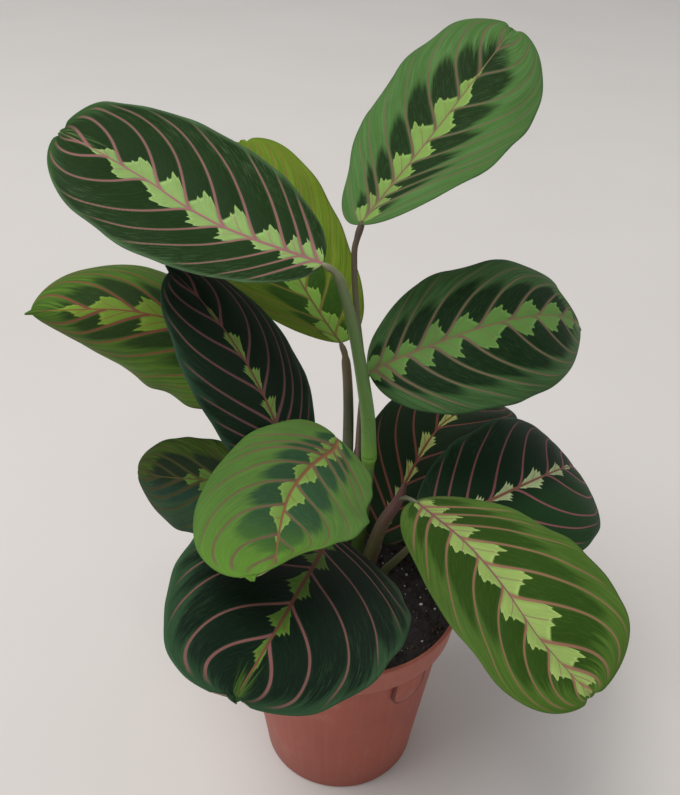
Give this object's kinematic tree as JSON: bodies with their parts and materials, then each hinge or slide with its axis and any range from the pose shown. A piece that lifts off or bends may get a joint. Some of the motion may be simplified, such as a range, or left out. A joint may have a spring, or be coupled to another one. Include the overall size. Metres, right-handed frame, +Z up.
{
  "type": "potted prayer plant",
  "caption": "Leafy prayer plant: broad oval leaves with pink veins on thin petioles rise from one crown, rooted in soil in a round tapered nursery pot.",
  "frame": {"origin": "centre of the pot's underside, where it rests", "axes": "+Z up; the plant's front, the side seen in the picture, faces -Y, and +X is to the right of it"},
  "size_m": [0.295, 0.2929, 0.3701],
  "materials": {
    "pot": "matte terracotta-coloured plastic",
    "soil": "crumbly black peat; wood, close to moist peat in weight, stands in",
    "green_stem": null,
    "brown_stem": null,
    "dark_blade": null,
    "light_blade": null
  },
  "bodies": {
    "root": {"pot": "pot", "soil": "soil", "cane": "green_stem", "petiole_top_left": "green_stem", "petiole_top_right": "green_stem", "petiole_back_upper": "green_stem", "petiole_middle_right": "brown_stem", "petiole_far_left": "green_stem", "petiole_left_dark": "brown_stem", "petiole_front_light": "green_stem", "petiole_front_low": "green_stem", "petiole_small_left": "brown_stem", "petiole_back_right": "brown_stem", "petiole_right_dark": "green_stem", "petiole_front_right": "brown_stem", "blade_top_left": "dark_blade", "blade_top_right": "light_blade", "blade_back_upper": "light_blade", "blade_middle_right": "light_blade", "blade_far_left": "light_blade", "blade_left_dark": "dark_blade", "blade_front_light": "light_blade", "blade_front_low": "dark_blade", "blade_small_left": "dark_blade", "blade_back_right": "dark_blade", "blade_right_dark": "dark_blade", "blade_front_right": "light_blade"}
  },
  "joints": []
}
